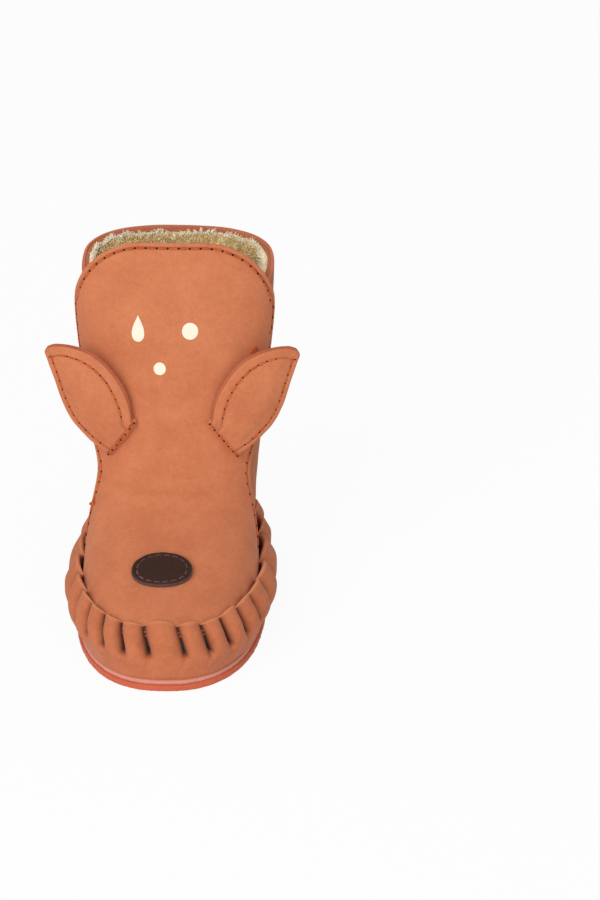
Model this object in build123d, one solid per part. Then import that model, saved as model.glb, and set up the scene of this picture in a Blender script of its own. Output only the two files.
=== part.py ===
"""Right-foot baby bootie: a soft leather moccasin with a high face panel, two ears and a pile lining.

Millimetres. +Z is up, the toe points along -Y, the outer (lateral) side is -X and the inner (medial) side is +X.
The origin is the middle of the outsole's ground face.
"""

import math
import os

from build123d import *

# ---- driving dimensions ----
LENGTH = 114.0  # outsole, toe to heel
OUTSOLE = 2.0
MIDSOLE = 1.2
MIDSOLE_INSET = 0.6
LEATHER = 1.2
PILE = 3.5  # lining, pressed
INSOLE_FOAM = 2.0
INSOLE_PILE = 3.0
PATCH = 0.7  # hook tape and loop tape
CLOSURE_AIR = 0.3
UNDER_AIR = 0.35  # slack between the panel and the quarter that runs under it
SEAM_BOTTOM = 14.0  # lower edge of the vamp and the quarter, tucked inside the gathered apron
GATHERS = 28  # folds round the apron
GATHER_DEPTH = 1.5
FACE_TOP = 116.5
FACE_HALF_WIDTH = 33.4
FACE_CORNER = 23.0
RIM_AT_BACK = 109.0
RIM_SLOPE = 0.54  # fall of the quarter's rim per millimetre towards the toe
FACING = 1.0
FACING_HEIGHT = 4.0
OVERLAP = 8.0  # how far the quarter runs under the panel
PATCH_BOTTOM, PATCH_TOP = 58.0, 90.0
FLAP_CLEARANCE = 0.4
WING_BOTTOM = 78.0  # the quarter's free wing under the flap, on the medial side
WING_BEHIND = 0.3
LINING_CLEARANCE = 0.5
SPOT = 0.25
NOSE_LENGTH, NOSE_WIDTH = 19.0, 12.6
NOSE_FROM_TOE, NOSE_ACROSS = 26.5, -1.5
THREAD = 0.3  # radius of the sewing thread
THREAD_LIFT = 0.03
STITCH, PITCH = 2.1, 3.0
EDGE_MARGIN = 1.5  # stitch row inside a panel's edge
EAR_LAYER = 1.1
EAR_BACK = -0.7  # the ear's back face, out from the plane through its hinge
TUCK_RADIUS = 1.2
TUCK_LENGTH = 15.5

SOLE_TOP = OUTSOLE + MIDSOLE
FLOOR = SOLE_TOP + LEATHER
LINING_BOTTOM = FLOOR + INSOLE_FOAM + INSOLE_PILE
CLOSURE_ROOM = 2 * PATCH + CLOSURE_AIR  # extra room on the lateral side for the hook and loop tapes
BALL, HEEL = 40.0, 100.0  # from the toe: the widest place, and where the heel's narrowing ends
ROUNDNESS = 2.5  # power of the rounded plan outlines
FAR = 150.0

# Levels of the upper's outer skin: height, front and back from the toe, half width, heel width beside ball width.
SKIN_LEVELS = [
    (FLOOR, 5.0, 111.0, 26.5, 0.86),
    (12.0, 5.3, 112.0, 27.8, 0.86),
    (18.0, 7.5, 112.0, 28.4, 0.87),
    (24.0, 19.0, 111.8, 28.5, 0.90),
    (30.0, 33.0, 111.3, 28.5, 0.93),
    (36.0, 46.5, 110.6, 28.5, 0.96),
    (43.0, 57.5, 109.7, 28.5, 1.0),
    (51.0, 61.8, 109.0, 28.8, 1.0),
    (60.0, 64.0, 108.3, 29.5, 1.0),
    (70.0, 67.0, 107.8, 30.6, 1.0),
    (80.0, 70.0, 107.5, 31.7, 1.0),
    (90.0, 73.3, 107.2, 32.6, 1.0),
    (100.0, 77.0, 107.0, 33.1, 1.0),
    (110.0, 80.2, 106.9, 33.2, 1.0),
    (122.0, 84.5, 106.8, 33.2, 1.0),
]

# Levels of the gathered apron that wraps up from the sole, and how much of the gathers' depth shows at each.
APRON_LEVELS = [
    (SOLE_TOP, 1.2, 113.0, 29.6, 0.86, 0.0),
    (8.0, 0.8, 113.8, 31.6, 0.86, 0.3),
    (12.5, 1.4, 114.2, 32.9, 0.86, 0.8),
    (16.5, 3.0, 113.6, 32.6, 0.87, 1.0),
    (19.0, 5.4, 112.6, 31.0, 0.88, 0.6),
]

# Side edge of the face panel: distance from the toe, and height.
PANEL_EDGE = [(45, 14), (49, 20), (54, 26), (64.5, 39.5), (75, 51), (83, 70), (88, 85), (90.5, 97), (92, 125)]

# Fold of the face flap: a line just in front of the leather, from the lateral tack up to the medial tack.
FOLD_LOW = Vector(-26.0, 59.0 - LENGTH / 2, 36.0)
FOLD_HIGH = Vector(28.0, 65.5 - LENGTH / 2, 82.4)

# Cream spots on the face: across, up, width, height.
TEARDROP = (-10.9, 89.0, 4.8, 8.0)
LARGE_ROUND = (5.6, 88.5, 5.1)
SMALL_ROUND = (-4.0, 77.0, 3.9)

# Lateral ear: ends of its base on the face and its tip, then its outline along and across the line to the tip.
EAR_BASE_INNER = Vector(-11.2, 64.9 - LENGTH / 2, 61.2)
EAR_BASE_OUTER = Vector(-20.5, 66.4 - LENGTH / 2, 48.3)
EAR_TIP = Vector(-37.2, 69.5 - LENGTH / 2, 85.3)
EAR_INNER_EDGE = [(9.0, -6.4), (18.0, -4.6), (28.0, -2.2)]
EAR_OUTER_EDGE = [(5.5, 9.2), (12.5, 10.9), (20.0, 10.3), (29.0, 6.4)]
MEDIAL_TACK = (24.0, 78.0)  # across and up


def from_toe(distance):
    """Y of a point that lies this far behind the toe."""
    return distance - LENGTH / 2


def smooth(t):
    """0 to 1, easing in and out."""
    t = min(1.0, max(0.0, t))
    return t * t * (3 - 2 * t)


def outline(height, front, back, half_width, heel_share, shift=0.0, count=28, gather=0.0):
    """A rounded plan outline as a face, narrower at the heel. gather is the depth of the folds round it."""
    middle, depth = (front + back) / 2, (back - front) / 2
    points = []
    for i in range(count):
        turn = -2 * math.pi * (i + 0.5) / count
        fold = gather * (0.5 * math.cos(GATHERS * turn) - 0.5)
        s, c = math.sin(turn), math.cos(turn)
        y = middle + (depth + fold) * math.copysign(abs(c) ** (2 / ROUNDNESS), c)
        narrow = 1 - (1 - heel_share) * smooth((y - BALL) / (HEEL - BALL))
        x = shift + (half_width * narrow + fold) * math.copysign(abs(s) ** (2 / ROUNDNESS), s)
        points.append((x, from_toe(y), height))
    return Face(Wire([Edge.make_spline(points, periodic=True, parameters=range(count + 1))]))


def skin(inset, lateral_room=0.0, reach=0.0):
    """The solid inside the upper's outer skin, taken in by inset. reach lengthens it past both ends."""
    faces = []
    last = len(SKIN_LEVELS) - 1
    for i, (height, front, back, half_width, heel_share) in enumerate(SKIN_LEVELS):
        low, high = SKIN_LEVELS[max(0, i - 1)], SKIN_LEVELS[min(last, i + 1)]
        lean = math.hypot(1.0, (high[1] - low[1]) / (high[0] - low[0]))
        faces.append(
            outline(
                height + reach * ((i == last) - (i == 0)),
                front + inset * lean,
                back - inset,
                half_width - inset - lateral_room / 2,
                heel_share,
                shift=lateral_room / 2,
            )
        )
    return loft(faces)


def side_cut(shift, behind=False):
    """Everything in front of the panel's side edge moved back by shift, or everything behind it."""
    edge = Spline(*[(from_toe(y) + shift, z) for y, z in PANEL_EDGE])
    low, high = edge @ 0, edge @ 1
    away = FAR if behind else -FAR
    corners = [(high.X, high.Y), (high.X, FAR), (away, FAR), (away, -FAR), (low.X, -FAR), (low.X, low.Y)]
    return extrude(Plane.YZ * make_face([edge, Polyline(*corners)]), FAR, both=True)


def head_cut(drop=0.0):
    """Everything below the rounded top of the face, seen from the front."""
    shoulder = FACE_TOP - FACE_CORNER - 2
    head = Pos(0, (FACE_TOP - drop) / 2) * Rectangle(2 * (FACE_HALF_WIDTH - drop), FACE_TOP - drop)
    head = fillet(head.vertices().group_by(Axis.Y)[-1], FACE_CORNER - drop)
    wide = Pos(0, shoulder / 2) * Rectangle(2 * FAR, shoulder)
    return extrude(Plane.XZ * (head + wide), FAR, both=True)


def rim_height(y):
    """Height of the quarter's rim at a Y."""
    return RIM_AT_BACK + (y - from_toe(106)) * RIM_SLOPE


def rim_cut(low=FAR, high=0.0):
    """The band between two distances below the quarter's rim."""
    corners = [(y, rim_height(y) - drop) for y, drop in ((-FAR, low), (FAR, low), (FAR, high), (-FAR, high))]
    return extrude(Plane.YZ * make_face(Polyline(*corners, close=True)), FAR, both=True)


def between(low, high):
    """Everything between two heights."""
    return Pos(0, 0, low) * Box(2 * FAR, 2 * FAR, high - low, align=(Align.CENTER, Align.CENTER, Align.MIN))


def fold_cut(flap, clearance):
    """The flap's side of the fold or the vamp's side, with half the clearance taken off."""
    direction = flap_side if flap else -flap_side
    start = Plane(origin=FOLD_LOW + direction * (clearance / 2), z_dir=direction)
    return start * Box(3 * FAR, 3 * FAR, FAR, align=(Align.CENTER, Align.CENTER, Align.MIN))


def hit(solid, point, direction):
    """Where a ray from a point leaves a solid, and the outward normal there."""
    direction = Vector(*direction)
    hits = solid.find_intersection_points(Axis(point, direction))
    ahead = [h for h in hits if (h[0] - point).dot(direction) > 0]
    place, normal = max(ahead, key=lambda h: (h[0] - point).dot(direction))
    return place, normal if normal.dot(direction) > 0 else -normal


def lay_stitch(place, normal, along, radius=THREAD, length=STITCH):
    """One straight stitch lying on a surface."""
    plane = Plane(origin=place + normal * (radius + THREAD_LIFT), x_dir=along, z_dir=normal)
    profile = SlotOverall(length, 2 * radius) & Pos(0, radius) * Rectangle(2 * length, 2 * radius)
    return plane.location * revolve(profile, Axis.X)


def lay_row(places):
    """Stitches along a row of (place, normal) pairs, one to each pair but the last."""
    row = []
    for (start, normal), (end, _) in zip(places, places[1:]):
        row.append(lay_stitch(start, normal, end - start))
    return row


def even_steps(places, pitch=PITCH):
    """The (place, normal) pairs of a dense row thinned to an even pitch."""
    kept, walked = [places[0]], 0.0
    for before, now in zip(places, places[1:]):
        walked += (now[0] - before[0]).length
        if walked >= pitch:
            kept.append(now)
            walked -= pitch
    return kept


def edge_row(side, low, high):
    """Dense (place, normal) pairs just inside the panel's side edge, between two heights."""
    edge = Spline(*PANEL_EDGE)
    row = []
    for i in range(401):
        y, z = (edge @ (i / 400)).X, (edge @ (i / 400)).Y
        if low <= z <= high:
            row.append(hit(skin_out, Vector(0, from_toe(y - EDGE_MARGIN), z), (side, 0, 0)))
    return row


def head_row():
    """Dense (place, normal) pairs just inside the head's rounded top, from the lateral side to the medial side."""
    centre, radius, sweep = FACE_HALF_WIDTH - FACE_CORNER, FACE_CORNER - EDGE_MARGIN, 78
    shoulder, top = FACE_TOP - FACE_CORNER, FACE_TOP - EDGE_MARGIN
    lateral = CenterArc((-centre, shoulder), radius, 90 + sweep, -sweep)
    medial = CenterArc((centre, shoulder), radius, 90, -sweep)
    path = Wire([lateral, Line((-centre, top), (centre, top)), medial])
    row = []
    for i in range(301):
        at = path @ (i / 300)
        row.append(hit(skin_out, Vector(at.X, 35, at.Y), (0, -1, 0)))
    return row


def save(shape, node):
    """Writes one node's solids as STEP."""
    solids = shape.solids()
    print(node, len(solids), "solids,", round(sum(s.volume for s in solids), 2), "mm3")
    export_step(solids[0] if len(solids) == 1 else Compound(children=list(solids)), f"parts/{node}.step")


fold_axis = (FOLD_HIGH - FOLD_LOW).normalized()
forward = (Vector(0, -1, 0) + fold_axis * fold_axis.Y).normalized()
flap_side = forward.cross(fold_axis)

os.makedirs("parts", exist_ok=True)

# ---- skins, from the outside in ----
skin_out = skin(0.0)
panel_in = skin(LEATHER, reach=1)
front_lining_in = skin(LEATHER + PILE, reach=2)
UNDER = LEATHER + UNDER_AIR
quarter_out = skin(UNDER, CLOSURE_ROOM, reach=1)
quarter_in = skin(UNDER + LEATHER, CLOSURE_ROOM, reach=1)
facing_in = skin(UNDER + LEATHER + FACING, CLOSURE_ROOM, reach=1)
quarter_lining_in = skin(UNDER + LEATHER + PILE, CLOSURE_ROOM, reach=2)

# ---- face panel: vamp below the fold, flap above it ----
panel = (skin_out - panel_in) & side_cut(0) & head_cut() & between(SEAM_BOTTOM, FAR)
save(panel & fold_cut(True, FLAP_CLEARANCE), "face_flap")
save(panel & fold_cut(False, FLAP_CLEARANCE), "vamp_panel")

# ---- quarter, its rim facing and the linings ----
quarter_zone = side_cut(-OVERLAP, behind=True)
quarter = (quarter_out - quarter_in) & quarter_zone & rim_cut() & between(SEAM_BOTTOM, FAR)
medial_half = Pos(FAR, 0, 0) * Box(2 * FAR, 2 * FAR, 2 * FAR)
wing_zone = side_cut(WING_BEHIND) & medial_half & between(WING_BOTTOM, FAR)
facing = (quarter_in - facing_in) & quarter_zone & rim_cut(low=FACING_HEIGHT, high=0.3)
quarter_lining = (quarter_in - quarter_lining_in) & quarter_zone & between(LINING_BOTTOM, FAR)
quarter_lining = quarter_lining & rim_cut(high=FACING_HEIGHT)
save(quarter - wing_zone, "ankle_quarter")
save(quarter & wing_zone, "medial_wing")
save(facing - wing_zone, "rim_facing")
save(quarter_lining - wing_zone, "quarter_lining")
save(quarter_lining & wing_zone, "medial_wing_lining")
front_zone = side_cut(-OVERLAP - LINING_CLEARANCE) & head_cut(3) & between(LINING_BOTTOM, FAR)
front_lining = (panel_in - front_lining_in) & front_zone
save(front_lining & fold_cut(True, FLAP_CLEARANCE), "face_lining")
save(front_lining & fold_cut(False, FLAP_CLEARANCE), "vamp_lining")

# ---- sole, gathered apron and insole ----
save(extrude(outline(0, 0, LENGTH, 30.5, 0.86), OUTSOLE), "outsole")
middle_outline = outline(OUTSOLE, MIDSOLE_INSET, LENGTH - MIDSOLE_INSET, 30.5 - MIDSOLE_INSET, 0.86)
save(extrude(middle_outline, MIDSOLE), "midsole")
low_cavity = (panel_in & side_cut(-OVERLAP) & between(FLOOR, SEAM_BOTTOM)) + (
    quarter_in & between(FLOOR, SEAM_BOTTOM)
)
high_cavity = (skin_out & side_cut(0) & between(SEAM_BOTTOM, 30)) + (quarter_out & between(SEAM_BOTTOM, 30))
apron = loft([outline(*level[:5], count=4 * GATHERS, gather=GATHER_DEPTH * level[5]) for level in APRON_LEVELS])
save(apron - low_cavity - high_cavity, "gathered_apron")
save(low_cavity & between(FLOOR, FLOOR + INSOLE_FOAM), "insole_foam")
save(low_cavity & between(FLOOR + INSOLE_FOAM, LINING_BOTTOM), "insole_pile")

# ---- hook and loop closure, on the lateral side ----
tape_zone = side_cut(-1.5) & side_cut(1.0 - OVERLAP, behind=True) & between(PATCH_BOTTOM, PATCH_TOP)
lateral_half = Pos(-FAR, 0, 0) * Box(2 * FAR, 2 * FAR, 2 * FAR)
tape_zone = tape_zone & lateral_half
save((panel_in - skin(LEATHER + PATCH, reach=2)) & tape_zone, "hook_patch")
save((skin(UNDER - PATCH, CLOSURE_ROOM, reach=2) - quarter_out) & tape_zone, "loop_patch")

# ---- spots ----
spot_skin = (skin(-SPOT, reach=1) - skin_out) & between(60, 105)
facing_front = Plane(origin=(0, 30, 0), x_dir=(1, 0, 0), z_dir=(0, -1, 0))
x, z, diameter = LARGE_ROUND
save(spot_skin & extrude(facing_front * Pos(x, z) * Circle(diameter / 2), FAR), "large_round_spot")
x, z, diameter = SMALL_ROUND
save(spot_skin & extrude(facing_front * Pos(x, z) * Circle(diameter / 2), FAR), "small_round_spot")
x, z, width, height = TEARDROP
drop_edge = Spline((0, height / 2), (width / 2, -height / 5), (0, -height / 2), (-width / 2, -height / 5), (0, height / 2))
save(spot_skin & extrude(facing_front * Pos(x, z) * make_face(drop_edge), FAR), "teardrop_spot")

# ---- nose ----
nose_place, nose_normal = hit(skin_out, Vector(NOSE_ACROSS, from_toe(NOSE_FROM_TOE), 20), (0, 0, 1))
nose_plane = Plane(origin=nose_place, x_dir=(1, 0, 0), z_dir=nose_normal)
nose_core = extrude(nose_plane * Ellipse(NOSE_LENGTH / 2, NOSE_WIDTH / 2), 6, both=True)
padding_core = extrude(nose_plane * Ellipse(NOSE_LENGTH / 2 - 0.4, NOSE_WIDTH / 2 - 0.4), 6, both=True)
padding_out = skin(-LEATHER)
nose_out = skin(-2 * LEATHER)
save((padding_out - skin_out) & padding_core, "nose_padding")
save((nose_out - padding_out) & nose_core, "nose_patch")
nose_row = []
for i in range(121):
    turn = 2 * math.pi * i / 120
    across, along = (NOSE_LENGTH / 2 - 1.3) * math.cos(turn), (NOSE_WIDTH / 2 - 1.3) * math.sin(turn)
    below = nose_plane.from_local_coords((across, along, -2))
    nose_row.append(hit(nose_out, Vector(*below), nose_normal))
save(Compound(children=lay_row(even_steps(nose_row, pitch=3.1))), "nose_stitching")

# ---- ears, their tucks and their stitches ----
inside = Vector(0, 20, 55)
base_middle = (EAR_BASE_INNER + EAR_BASE_OUTER) / 2
base_normal = hit(skin_out, inside, base_middle - inside)[1]
ear_hinge = base_middle + base_normal * 2.2
hinge_axis = (EAR_BASE_INNER - EAR_BASE_OUTER).normalized()
ear_along = (EAR_TIP - ear_hinge).normalized()
ear_out = hinge_axis.cross(ear_along).normalized()
ear_plane = Plane(origin=ear_hinge, x_dir=ear_along, z_dir=ear_out)
ear_length = (EAR_TIP - ear_hinge).length

# The ear starts just clear of the tuck, along a line parallel to the hinge.
lean = ear_plane.to_local_coords(ear_hinge + hinge_axis)
gap = TUCK_RADIUS + 0.3
inner_root = (5.8 * lean.X - gap * lean.Y, 5.8 * lean.Y + gap * lean.X)
outer_root = (-6.8 * lean.X - gap * lean.Y, -6.8 * lean.Y + gap * lean.X)
tip = (ear_length, 0)
inner_edge = Spline(inner_root, *EAR_INNER_EDGE, tip)
outer_edge = Spline(outer_root, *EAR_OUTER_EDGE, tip)
leaf = make_face([inner_edge, outer_edge, Line(inner_root, outer_root)])
ear_back = extrude(ear_plane.offset(EAR_BACK) * leaf, EAR_LAYER)
ear_front = extrude(ear_plane.offset(EAR_BACK + EAR_LAYER) * leaf, EAR_LAYER)

ear_stitches = []
for edge, margin, first in ((inner_edge, 3.0, 0.12), (outer_edge, -1.6, 0.05)):
    row = []
    for i in range(61):
        t = first + (0.86 - first) * i / 60
        tangent = edge % t
        spot = edge @ t + Vector(-tangent.Y, tangent.X, 0) * margin
        place = ear_plane.from_local_coords((spot.X, spot.Y, EAR_BACK + 2 * EAR_LAYER))
        row.append((Vector(*place), ear_out))
    ear_stitches += lay_row(even_steps(row))

tuck_plane = Plane(origin=ear_hinge, x_dir=hinge_axis, z_dir=base_normal)
tuck = extrude(tuck_plane * SlotOverall(TUCK_LENGTH, 2 * TUCK_RADIUS), -6)
round_top = revolve(SlotOverall(TUCK_LENGTH, 2 * TUCK_RADIUS) & Pos(0, 5) * Rectangle(40, 10), Axis.X)
tuck = tuck + tuck_plane.location * round_top - skin_out

tuck_stitches = []
for i in range(5):
    start = ear_hinge + hinge_axis * (i - 2) * PITCH - ear_along * (TUCK_RADIUS + 0.9)
    place, normal = hit(skin_out, start - base_normal * 12, base_normal)
    tuck_stitches.append(lay_stitch(place, normal, hinge_axis))

for name, side in (("lateral", False), ("medial", True)):
    for shape, node in ((ear_front, "ear_front"), (ear_back, "ear_back"), (tuck, "ear_tuck")):
        save(mirror(shape, Plane.YZ) if side else shape, f"{name}_{node}")
    group = Compound(children=ear_stitches)
    save(mirror(group, Plane.YZ) if side else group, f"{name}_ear_stitching")

# ---- panel stitching ----
flap_edge = edge_row(-1, 37.5, 95.5) + head_row() + edge_row(1, 80, 95.5)[::-1]
flap_row = even_steps([pair for pair in flap_edge if (pair[0] - FOLD_LOW).dot(flap_side) > 1.8])
vamp_lateral = even_steps(edge_row(-1, 22.5, 34.5))
vamp_medial = even_steps([pair for pair in edge_row(1, 22.5, 94) if (pair[0] - FOLD_LOW).dot(flap_side) < -1.8])
save(Compound(children=lay_row(flap_row) + tuck_stitches), "face_stitching")
mirrored_tuck_stitches = [mirror(one, Plane.YZ) for one in tuck_stitches]
vamp_stitches = lay_row(vamp_lateral) + lay_row(vamp_medial) + mirrored_tuck_stitches
save(Compound(children=vamp_stitches), "vamp_stitching")

# ---- bar tacks at the two ends of the fold ----
tacks = []
medial_tack = hit(skin_out, Vector(MEDIAL_TACK[0], 35, MEDIAL_TACK[1]), (0, -1, 0))
for place, normal in (vamp_lateral[-1], medial_tack):
    beside = place + normal * 0.1
    tacks.append(lay_stitch(beside, normal, normal.cross(flap_side), radius=0.5, length=4.0))
save(Compound(children=tacks), "bar_tacks")

# ---- one stitch in the valley of each gather ----
gather_stitches = []
for i in range(GATHERS):
    turn = 2 * math.pi * (i + 0.5) / GATHERS
    direction = (math.sin(turn), math.cos(turn), 0)
    place, normal = hit(apron, Vector(0, 0, 14.5), direction)
    gather_stitches.append(lay_stitch(place, normal, Vector(0, 0, 1) - normal * normal.Z, length=1.8))
save(Compound(children=gather_stitches), "gather_stitching")

print("fold hinge", (FOLD_LOW + FOLD_HIGH) / 2, "axis", fold_axis)
print("lateral ear hinge", ear_hinge, "axis", hinge_axis)
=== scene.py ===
"""Looks of a right-foot baby bootie: soft leather, gathered toe, face flap, two ears and a pile lining.

Lengths are in millimetres until a mesh is made. The toe points along -Y and the inner (medial) side is +X.
"""

import math

import bmesh
import bpy
import numpy as np
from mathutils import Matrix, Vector


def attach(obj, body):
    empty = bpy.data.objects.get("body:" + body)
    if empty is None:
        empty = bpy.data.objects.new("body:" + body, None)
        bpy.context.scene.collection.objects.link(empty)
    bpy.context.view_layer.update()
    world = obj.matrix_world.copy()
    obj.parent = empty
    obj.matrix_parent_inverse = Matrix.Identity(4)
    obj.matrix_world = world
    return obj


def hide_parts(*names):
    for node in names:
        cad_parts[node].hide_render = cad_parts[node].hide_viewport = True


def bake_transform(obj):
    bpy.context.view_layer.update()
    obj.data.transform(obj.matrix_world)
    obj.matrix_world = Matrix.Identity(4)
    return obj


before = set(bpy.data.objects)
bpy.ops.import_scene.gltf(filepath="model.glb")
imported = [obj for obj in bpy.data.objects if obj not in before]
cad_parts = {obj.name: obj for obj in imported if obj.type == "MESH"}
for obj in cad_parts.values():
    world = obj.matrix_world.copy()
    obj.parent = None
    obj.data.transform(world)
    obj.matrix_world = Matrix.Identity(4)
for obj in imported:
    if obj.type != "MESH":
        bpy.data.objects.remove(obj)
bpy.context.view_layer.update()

MM = 0.001
HALF_LENGTH = 57.0
LEATHER = 1.2
UNDER = 1.55  # depth of the quarter's outer side under the panel's
CLOSURE_ROOM = 1.7
RIM_AT_BACK, RIM_SLOPE, BACK_FROM_TOE = 111.2, 0.54, 106
FACE_TOP, FACE_HALF, FACE_CORNER = 114.8, 32.4, 23.0
SHOULDER = FACE_TOP - FACE_CORNER
BOTTOM = 14.0
POWER = 0.8
SKIN = [
    (4.4, 5.0, 111.0, 26.5, 0.86), (12, 5.3, 112, 27.8, 0.86), (18, 7.5, 112, 28.4, 0.87),
    (24, 19, 111.8, 28.5, 0.90), (30, 33, 111.3, 28.5, 0.93), (36, 46.5, 110.6, 28.5, 0.96),
    (43, 57.5, 109.7, 28.5, 1), (51, 61.8, 109, 28.8, 1), (60, 64, 108.3, 29.5, 1),
    (70, 67, 107.8, 30.6, 1), (80, 70, 107.5, 31.7, 1), (90, 73.3, 107.2, 32.6, 1),
    (100, 77, 107, 33.1, 1), (110, 80.2, 106.9, 33.2, 1), (122, 84.5, 106.8, 33.2, 1),
]
APRON = [
    (3.2, 1.2, 113, 29.6, 0.86), (8, 0.8, 113.8, 31.6, 0.86), (12.5, 1.4, 114.2, 32.9, 0.86),
    (16.5, 3, 113.6, 32.6, 0.87), (19, 5.4, 112.6, 31, 0.88), (21.5, 7.8, 111.6, 29.5, 0.88),
]
PANEL_EDGE = [
    (14, 45), (20, 49), (26, 54), (39.5, 64.5), (51, 74), (70, 80.5), (85, 84.5), (97, 87), (125, 89)
]
FLAP_SIDE = np.array([-0.652, 0.0, 0.758])
GATHERS = 28


# ---- shapes ----
def smooth(t):
    t = np.clip(t, 0, 1)
    return t * t * (3 - 2 * t)


def power(value, exponent):
    return np.sign(value) * np.abs(value) ** exponent


def read(table, at):
    """Cubic reading of a table whose first column is the place, one array for each other column."""
    table = np.array(table, float)
    place, values = table[:, 0], table[:, 1:]
    slopes = np.gradient(values, place, axis=0)
    at = np.asarray(at, float)
    i = np.clip(np.searchsorted(place, at) - 1, 0, len(place) - 2)
    step = (place[i + 1] - place[i])[..., None]
    u = np.clip((at - place[i])[..., None] / step, 0, 1)
    start, end = values[i], values[i + 1]
    out = (2 * u**3 - 3 * u**2 + 1) * start + (u**3 - 2 * u**2 + u) * step * slopes[i]
    out = out + (3 * u**2 - 2 * u**3) * end + (u**3 - u**2) * step * slopes[i + 1]
    return np.moveaxis(out, -1, 0)


def oval(z, inset=0.0, room=0.0, table=SKIN):
    front, back, half, heel = read(table, z)
    lean = np.hypot(1, (read(table, np.asarray(z) + 1)[0] - read(table, np.asarray(z) - 1)[0]) / 2)
    front, back = front + inset * lean, back - inset
    return (front + back) / 2, (back - front) / 2, half - inset - room / 2, heel


def skin(z, turn, inset=0.0, room=0.0, table=SKIN):
    """A point of a level outline. turn is 0 in front and goes round by the medial side."""
    middle, depth, half, heel = oval(z, inset, room, table)
    y = middle - depth * power(np.cos(turn), POWER)
    x = room / 2 + half * (1 - (1 - heel) * smooth((y - 40) / 60)) * power(np.sin(turn), POWER)
    return np.stack(np.broadcast_arrays(x, y - HALF_LENGTH, np.asarray(z, float)), -1)


def turn_at(z, from_toe, inset=0.0, room=0.0):
    middle, depth, _, _ = oval(z, inset, room)
    return np.arccos(np.clip(power((middle - from_toe) / depth, 1 / POWER), -1, 1))


def front_at(x, z, lift=0.0):
    """The point of the face or vamp seen from the front at this place across and up."""
    _, _, half, _ = oval(z)
    turn = np.arcsin(np.clip(np.abs(x) / half, 0, 1) ** (1 / POWER)) * np.sign(x)
    return off_skin(z, turn, lift)


def off_skin(z, turn, lift):
    at = skin(z, turn)
    small = 0.02
    up = skin(np.asarray(z) + 0.3, turn) - skin(np.asarray(z) - 0.3, turn)
    side = skin(z, turn + small) - skin(z, turn - small)
    normal = np.cross(side, up)
    normal /= np.linalg.norm(normal, axis=-1, keepdims=True)
    return at + normal * np.asarray(lift)[..., None], normal


def top_at(x, y_from_toe):
    """Height of the vamp above a place in plan."""
    z = np.linspace(13, 60, 400)
    middle, depth, half, _ = oval(z)
    s = np.clip(np.abs(np.asarray(x)[..., None]) / half, 0, 1) ** (1 / POWER)
    y = middle - depth * np.sqrt(1 - s**2) ** POWER
    gap = np.abs(y - np.asarray(y_from_toe)[..., None])
    return z[np.argmin(gap, -1)]


def ripple(p, size, seed, waves=10):
    """Smooth uneven rise and fall, about -1 to 1."""
    rng = np.random.default_rng(seed)
    total = np.zeros(p.shape[:-1])
    for _ in range(waves):
        k = rng.normal(size=3)
        k *= 2 * math.pi / (np.linalg.norm(k) * size * rng.uniform(0.7, 1.5))
        total += np.sin(p @ k + rng.uniform(0, 2 * math.pi))
    return total / math.sqrt(waves)


def normals(grid, wrap=False):
    """Outward normals of a grid of points round the upright axis through the ankle."""
    if wrap:
        grid = np.concatenate([grid[:, -1:], grid, grid[:, :1]], 1)
    found = np.cross(np.gradient(grid, axis=0), np.gradient(grid, axis=1))
    found /= np.linalg.norm(found, axis=-1, keepdims=True) + 1e-9
    if wrap:
        found, grid = found[:, 1:-1], grid[:, 1:-1]
    if (found * (grid - np.array([0, 15.0, 25.0]))).sum() < 0:
        found = -found
    return found


def walk(points):
    """Distance walked along a line of points."""
    return np.concatenate([[0], np.cumsum(np.linalg.norm(np.diff(points, axis=0), axis=1))])


def round_turn(count):
    return np.linspace(0, 2 * math.pi, count, endpoint=False)


def quads(rows, columns, wrap):
    i, j = np.meshgrid(np.arange(rows - 1), np.arange(columns if wrap else columns - 1), indexing="ij")
    k = (j + 1) % columns
    return np.stack(
        [i * columns + j, i * columns + k, (i + 1) * columns + k, (i + 1) * columns + j], -1
    ).reshape(-1, 4)


def capped(rows, columns):
    """Faces of a tube of rings with both ends closed."""
    ends = [list(range(columns)), [(rows - 1) * columns + j for j in range(columns)][::-1]]
    return quads(rows, columns, True).tolist() + ends


def add_piece(name, points, faces, material, marks=None, sharp=50):
    """A closed mesh in metres, with its faces outwards."""
    mesh = bpy.data.meshes.new(name)
    mesh.from_pydata((points * MM).tolist(), [], faces.tolist() if hasattr(faces, "tolist") else faces)
    for mark, values in (marks or {}).items():
        mesh.attributes.new(mark, "FLOAT", "POINT").data.foreach_set(
            "value", np.asarray(values, np.float32).ravel()
        )
    piece = bpy.data.objects.new(name, mesh)
    bpy.context.collection.objects.link(piece)
    mesh.materials.append(material)
    tidy(mesh, sharp)
    return piece


def tidy(mesh, sharp=50):
    work = bmesh.new()
    work.from_mesh(mesh)
    bmesh.ops.remove_doubles(work, verts=work.verts, dist=1e-6)
    bmesh.ops.recalc_face_normals(work, faces=work.faces)
    work.to_mesh(mesh)
    work.free()
    mesh.polygons.foreach_set("use_smooth", [True] * len(mesh.polygons))
    mesh.set_sharp_from_angle(angle=math.radians(sharp))


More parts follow.
